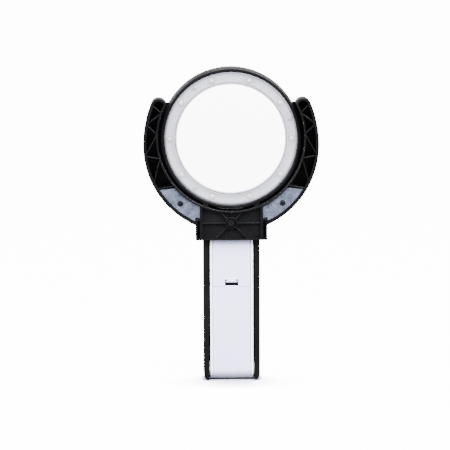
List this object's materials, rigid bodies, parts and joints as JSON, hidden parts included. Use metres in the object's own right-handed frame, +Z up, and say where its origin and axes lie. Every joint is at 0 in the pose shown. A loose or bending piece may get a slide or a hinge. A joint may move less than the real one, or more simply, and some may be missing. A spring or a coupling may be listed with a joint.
{
  "type": "folding led stand magnifier",
  "caption": "Round lit magnifying lens on a channel handle, with a nested battery column and a weighted crescent base that unfold into a desk stand.",
  "frame": {"origin": "centre of the bounding box's footprint, at the handle's free end", "axes": "+Z up the handle towards the lens, -Y out of the underside where the LEDs shine, +X to the right when looking at the underside"},
  "size_m": [0.1564, 0.03, 0.2811],
  "materials": {
    "black_plastic": "fine moulded satin black",
    "lens": "clear polished lens",
    "frosted_plastic": "frosted translucent white",
    "white_board": "white solder mask",
    "led_package": "white package with yellow phosphor",
    "bright_steel": "bright turned steel",
    "switch_plastic": "moulded dark grey",
    "red_lead": "red insulation",
    "black_lead": "black insulation",
    "washer_plastic": "natural acetal",
    "white_plastic": "satin white with a faint lavender cast",
    "cell_sleeve": "plain printed sleeve",
    "nickel": "nickel plate",
    "zinc_steel": "mottled grey zinc plate",
    "dark_steel": "blackened steel"
  },
  "bodies": {
    "head": {"head_frame": "black_plastic", "head_cover": "black_plastic", "lens": "lens", "led_cover": "frosted_plastic", "led_board": "white_board", "led_01": "led_package", "led_02": "led_package", "led_03": "led_package", "led_04": "led_package", "led_05": "led_package", "led_06": "led_package", "led_07": "led_package", "led_08": "led_package", "led_09": "led_package", "led_10": "led_package", "board_screw_1": "bright_steel", "board_screw_2": "bright_steel", "board_screw_3": "bright_steel", "handle_screw_1": "bright_steel", "handle_screw_2": "bright_steel", "handle_screw_3": "bright_steel", "handle_screw_4": "bright_steel", "switch_body": "switch_plastic", "lead_positive": "red_lead", "lead_negative": "black_lead", "fold_pin": "bright_steel", "pivot_cap_left": "black_plastic", "pivot_cap_right": "black_plastic", "friction_washer_left": "washer_plastic", "friction_washer_right": "washer_plastic"},
    "switch": {"switch_knob": "switch_plastic"},
    "column": {"column_body": "white_plastic", "column_front_cover": "white_plastic", "column_screw_1": "bright_steel", "column_screw_2": "bright_steel", "battery_cell_1": "cell_sleeve", "battery_cell_2": "cell_sleeve", "battery_cell_3": "cell_sleeve", "contact_plate_lower": "nickel", "contact_plate_upper": "nickel", "contact_spring_1": "nickel", "contact_spring_2": "nickel", "contact_spring_3": "nickel"},
    "door": {"battery_door": "white_plastic"},
    "base": {"base_shell": "black_plastic", "counterweight_left": "zinc_steel", "counterweight_right": "zinc_steel", "weight_screw_left": "dark_steel", "weight_screw_right": "dark_steel", "hinge_bracket": "dark_steel", "base_pin": "bright_steel", "bracket_screw": "dark_steel"}
  },
  "joints": [
    {"name": "column_fold", "type": "hinge", "parent": "head", "child": "column", "pos_m": [0, -0.0009, 0.01], "axis": [1, 0, 0], "range_deg": [0, 90]},
    {"name": "base_fold", "type": "hinge", "parent": "column", "child": "base", "pos_m": [0, -0.0009, 0.1426], "axis": [1, 0, 0], "range_deg": [-90, 0]},
    {"name": "door_swing", "type": "hinge", "parent": "column", "child": "door", "pos_m": [0, -0.00593, 0.00254], "axis": [1, 0, 0], "range_deg": [0, 55]},
    {"name": "switch_slide", "type": "slide", "parent": "head", "child": "switch", "axis": [0, 0, 1], "range_m": [0, 0.004]}
  ],
  "couplings": [
    {"joint": "base_fold", "follows": "column_fold", "ratio": -1}
  ]
}
